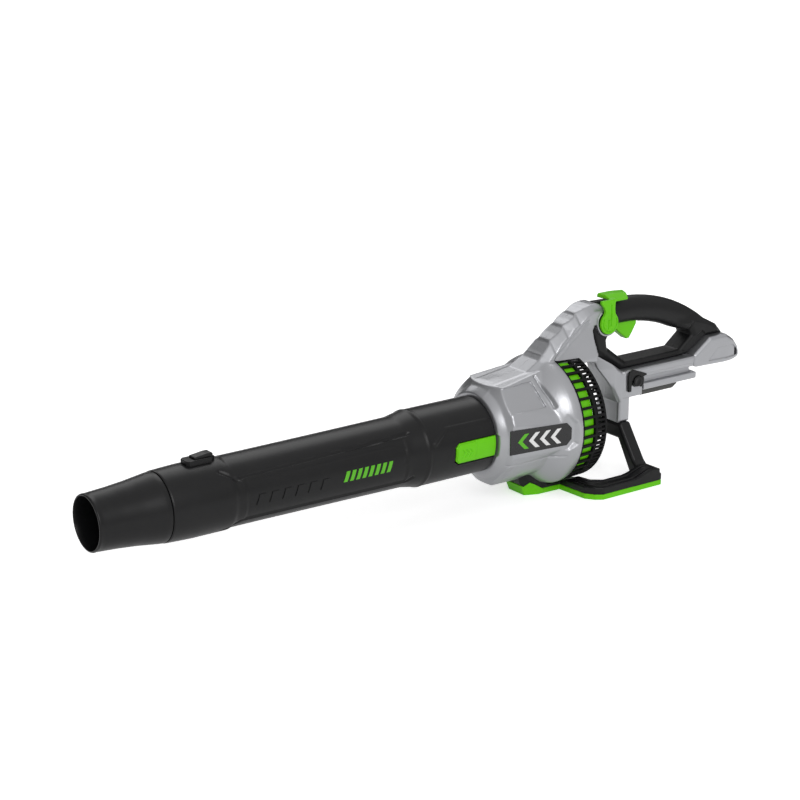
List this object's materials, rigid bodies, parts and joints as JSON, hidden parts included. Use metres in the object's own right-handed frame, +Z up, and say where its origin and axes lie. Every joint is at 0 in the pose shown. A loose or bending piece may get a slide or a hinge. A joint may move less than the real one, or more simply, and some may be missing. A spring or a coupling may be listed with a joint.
{
  "type": "leaf blower",
  "caption": "Hand-held cordless axial leaf blower with a long round tube, tapered nozzle, caged rear intake, loop handle, battery bay and a flat foot.",
  "frame": {"origin": "on the ground under the middle of the overall box", "axes": "+X the way the air leaves, +Y the machine's left, +Z up"},
  "size_m": [0.965, 0.17, 0.2391],
  "materials": {
    "silver_shell": "satin moulded plastic with a fine metallic fleck",
    "black_shell": "satin moulded black plastic",
    "grip_black": "soft-touch black over-moulding",
    "green_plastic": "saturated green moulded plastic",
    "badge_black": "smooth glossy black plate",
    "duct_grey": "glass-filled dark grey plastic",
    "terminal_grey": "dark grey plastic",
    "fan_black": "glass-filled black plastic",
    "motor_steel": "stamped steel laminations",
    "copper_wire": "enamelled copper winding wire",
    "bearing_steel": "ground bearing steel",
    "screw_steel": "dark zinc-plated screw steel",
    "contact_brass": "bright contact metal",
    "board_green": "circuit board with solder mask",
    "heat_aluminium": "extruded aluminium",
    "lead_rubber": "black lead insulation"
  },
  "bodies": {
    "housing": {"housing_left": "silver_shell", "housing_right": "silver_shell", "fan_shroud": "duct_grey", "guide_vanes": "duct_grey", "motor_stator": "motor_steel", "motor_windings": "copper_wire", "front_bearing": "bearing_steel", "rear_bearing": "bearing_steel", "rear_bearing_plate": "heat_aluminium", "inlet_guard_ring": "green_plastic", "intake_cage": "black_shell", "handle_left": "grip_black", "handle_right": "grip_black", "trigger_pin": "bearing_steel", "trigger_spring": "bearing_steel", "switch_module": "terminal_grey", "lever_bush": "terminal_grey", "rear_frame_left": "silver_shell", "rear_frame_right": "silver_shell", "bay_end_cap": "silver_shell", "battery_rails": "silver_shell", "terminal_block": "terminal_grey", "contact_blades": "contact_brass", "latch_bezel": "black_shell", "controller_board": "board_green", "heat_sink": "heat_aluminium", "base_pad": "green_plastic", "base_frame": "black_shell", "foot_screws": "screw_steel", "side_badge_left": "badge_black", "side_badge_right": "badge_black", "side_screws": "screw_steel", "bay_screws": "screw_steel", "motor_leads": "lead_rubber"},
    "tube": {"blower_tube": "black_shell"},
    "nozzle": {"nozzle_tip": "black_shell"},
    "nozzle_button": {"nozzle_lock_button": "black_shell"},
    "tube_latch": {"tube_release_button": "green_plastic"},
    "trigger": {"trigger": "green_plastic"},
    "speed_lever": {"speed_lever": "green_plastic"},
    "fan": {"fan_impeller": "fan_black", "motor_rotor": "motor_steel", "fan_nut": "bearing_steel"},
    "battery_button": {"battery_release_button": "black_shell"}
  },
  "joints": [
    {"name": "fan_spin", "type": "hinge", "parent": "housing", "child": "fan", "pos_m": [-0.1225, 0, 0.0915], "axis": [1, 0, 0], "continuous": true},
    {"name": "tube_slide", "type": "slide", "parent": "housing", "child": "tube", "axis": [1, 0, 0], "range_m": [0, 0.05]},
    {"name": "nozzle_slide", "type": "slide", "parent": "tube", "child": "nozzle", "axis": [1, 0, 0], "range_m": [0, 0.04]},
    {"name": "nozzle_lock_press", "type": "slide", "parent": "tube", "child": "nozzle_button", "axis": [0, 0, -1], "range_m": [0, 0.0025], "stiffness_N_per_m": 1200, "springref_m": -0.001},
    {"name": "tube_latch_press", "type": "slide", "parent": "housing", "child": "tube_latch", "axis": [0, -1, 0], "range_m": [0, 0.003], "stiffness_N_per_m": 1200, "springref_m": -0.001},
    {"name": "trigger_pull", "type": "hinge", "parent": "housing", "child": "trigger", "pos_m": [-0.2585, 0, 0.1995], "axis": [0, 1, 0], "range_deg": [0, 8], "stiffness_Nm_per_rad": 1.2, "springref_deg": -5.73},
    {"name": "speed_lever_turn", "type": "hinge", "parent": "housing", "child": "speed_lever", "pos_m": [-0.236, 0, 0.2045], "axis": [0, 1, 0], "range_deg": [0, 25]},
    {"name": "battery_release_press", "type": "slide", "parent": "housing", "child": "battery_button", "axis": [0, -1, 0], "range_m": [0, 0.003], "stiffness_N_per_m": 1200, "springref_m": -0.001}
  ]
}
